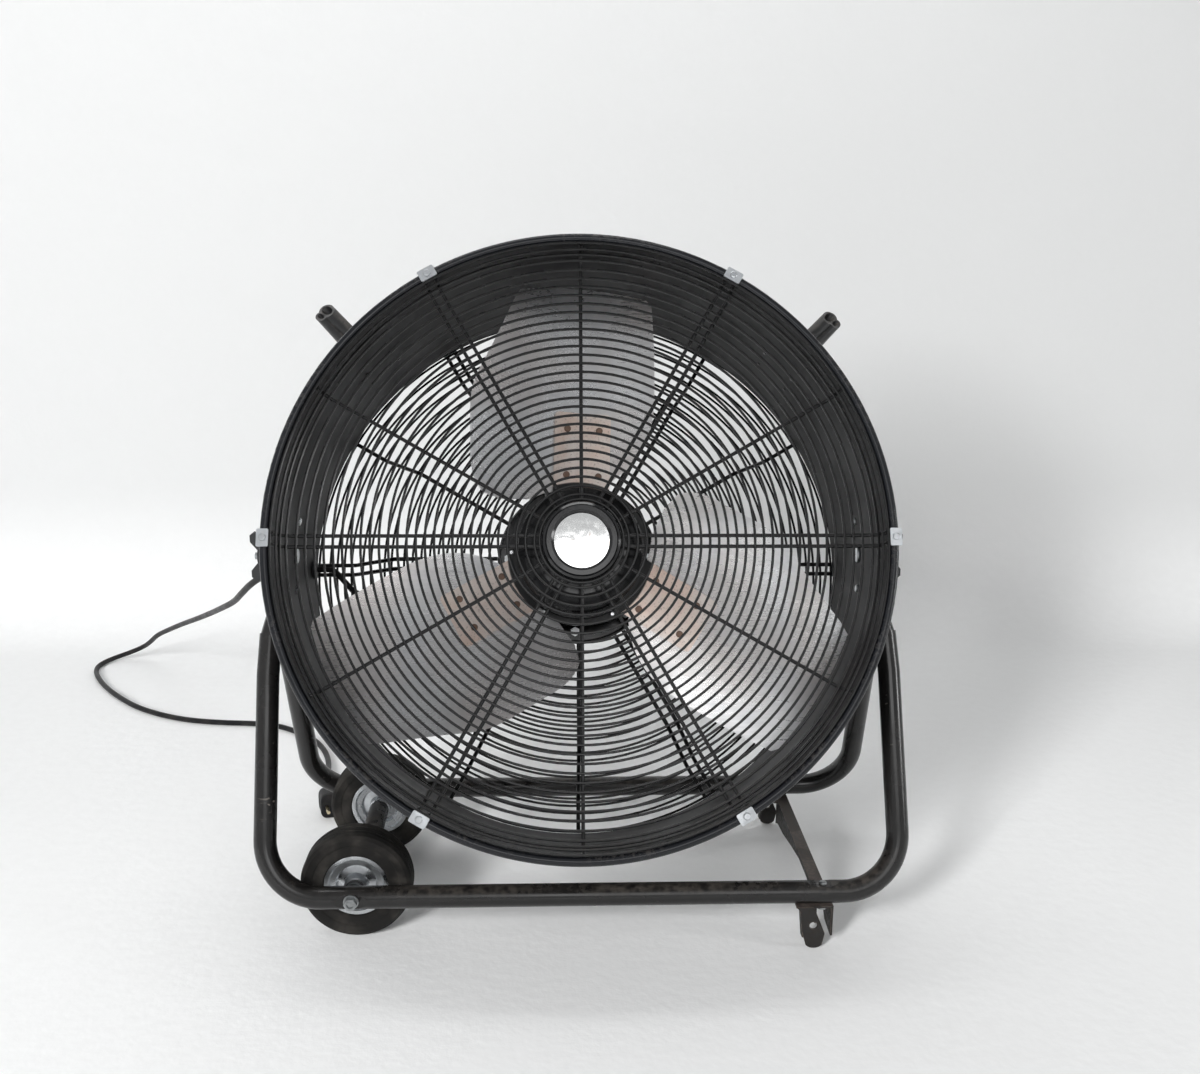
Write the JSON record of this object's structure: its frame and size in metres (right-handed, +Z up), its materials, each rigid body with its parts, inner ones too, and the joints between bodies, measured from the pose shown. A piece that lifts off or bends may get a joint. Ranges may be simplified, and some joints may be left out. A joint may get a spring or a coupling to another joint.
{
  "type": "drum fan",
  "caption": "Floor-standing drum fan with caged aluminium blades, tilting in a two-frame tube stand on a pair of wheels and a folded sheet foot, with its supply cord.",
  "frame": {"origin": "on the floor directly under the drum's tilt axis, midway between the two sides", "axes": "+Z up, +X to the right seen from the front, -Y the way the air leaves"},
  "size_m": [1.2648, 1.119, 0.7881],
  "materials": {
    "black_tube": "satin black powder coat, dusty",
    "worn_sheet": "worn brown-black paint",
    "zinc": "zinc plated",
    "bright_zinc": "bright zinc plated",
    "rubber": "matte",
    "tyre": "matte",
    "nylon": "matte",
    "drum_paint": "gloss blue-black",
    "wire_paint": "satin black",
    "motor_paint": "gloss black",
    "black_plastic": "gloss black",
    "chrome": "mirror",
    "aluminium": "satin rolled sheet",
    "iron": "laminated",
    "copper": "enamelled wire",
    "capacitor_can": "satin",
    "brass_pins": "nickel over brass",
    "rivet": "dull, browned"
  },
  "bodies": {
    "stand": {"front_frame_tube": "black_tube", "rear_frame_tube": "black_tube", "foot_channel": "worn_sheet", "foot_screws": "zinc", "foot_nuts": "zinc", "axle_rod": "zinc", "axle_sleeve": "black_tube", "axle_washers": "zinc", "axle_nuts": "zinc", "pivot_washers": "zinc", "power_cord": "rubber", "plug_body": "rubber", "plug_pins": "brass_pins"},
    "drum": {"drum_shell": "drum_paint", "front_grille": "wire_paint", "rear_grille": "wire_paint", "front_clips": "bright_zinc", "front_clip_screws": "bright_zinc", "rear_clips": "bright_zinc", "rear_clip_screws": "bright_zinc", "badge_ring": "black_plastic", "badge_disc": "chrome", "motor_flange": "motor_paint", "motor_mount_bolts": "bright_zinc", "stator_tube": "zinc", "stator_core": "iron", "stator_windings": "copper", "bearing_front": "zinc", "bearing_rear": "zinc", "switch_housing": "motor_paint", "switch_body": "black_plastic", "capacitor": "capacitor_can", "cord_gland": "black_plastic", "motor_lead": "rubber", "grip_left": "black_tube", "grip_right": "black_tube", "grip_rivets": "black_tube", "pivot_plates": "black_tube", "pivot_plate_screws": "zinc", "pivot_bolts": "zinc", "pivot_spacers": "nylon"},
    "rotor": {"rotor_can": "motor_paint", "rotor_ring": "iron", "rotor_shaft": "zinc", "spider": "aluminium", "spider_screws": "bright_zinc", "blade_1": "aluminium", "blade_2": "aluminium", "blade_3": "aluminium", "blade_rivets": "rivet"},
    "front_wheel": {"front_tyre": "tyre", "front_rim": "zinc", "front_bush": "nylon"},
    "rear_wheel": {"rear_tyre": "tyre", "rear_rim": "zinc", "rear_bush": "nylon"},
    "speed_knob": {"speed_knob": "black_plastic"},
    "tilt_knob_left": {"tilt_knob_left": "black_plastic"},
    "tilt_knob_right": {"tilt_knob_right": "black_plastic"}
  },
  "joints": [
    {"name": "drum_tilt", "type": "hinge", "parent": "stand", "child": "drum", "pos_m": [0, 0, 0.422], "axis": [-1, 0, 0], "range_deg": [-42, 30]},
    {"name": "rotor_spin", "type": "hinge", "parent": "drum", "child": "rotor", "pos_m": [0, 0, 0.422], "axis": [0, -0.9272, 0.3746], "continuous": true},
    {"name": "front_wheel_roll", "type": "hinge", "parent": "stand", "child": "front_wheel", "pos_m": [-0.256, -0.101, 0.0635], "axis": [0, 1, 0], "continuous": true},
    {"name": "rear_wheel_roll", "type": "hinge", "parent": "stand", "child": "rear_wheel", "pos_m": [-0.256, 0.101, 0.0635], "axis": [0, 1, 0], "continuous": true},
    {"name": "speed_select", "type": "hinge", "parent": "drum", "child": "speed_knob", "pos_m": [0, 0.12053, 0.3733], "axis": [0, 0.9272, -0.3746], "range_deg": [0, 270]},
    {"name": "tilt_clamp_left", "type": "hinge", "parent": "drum", "child": "tilt_knob_left", "pos_m": [-0.356, 0, 0.422], "axis": [-1, 0, 0], "range_deg": [0, 180]},
    {"name": "tilt_clamp_right", "type": "hinge", "parent": "drum", "child": "tilt_knob_right", "pos_m": [0.356, 0, 0.422], "axis": [1, 0, 0], "range_deg": [0, 180]}
  ]
}
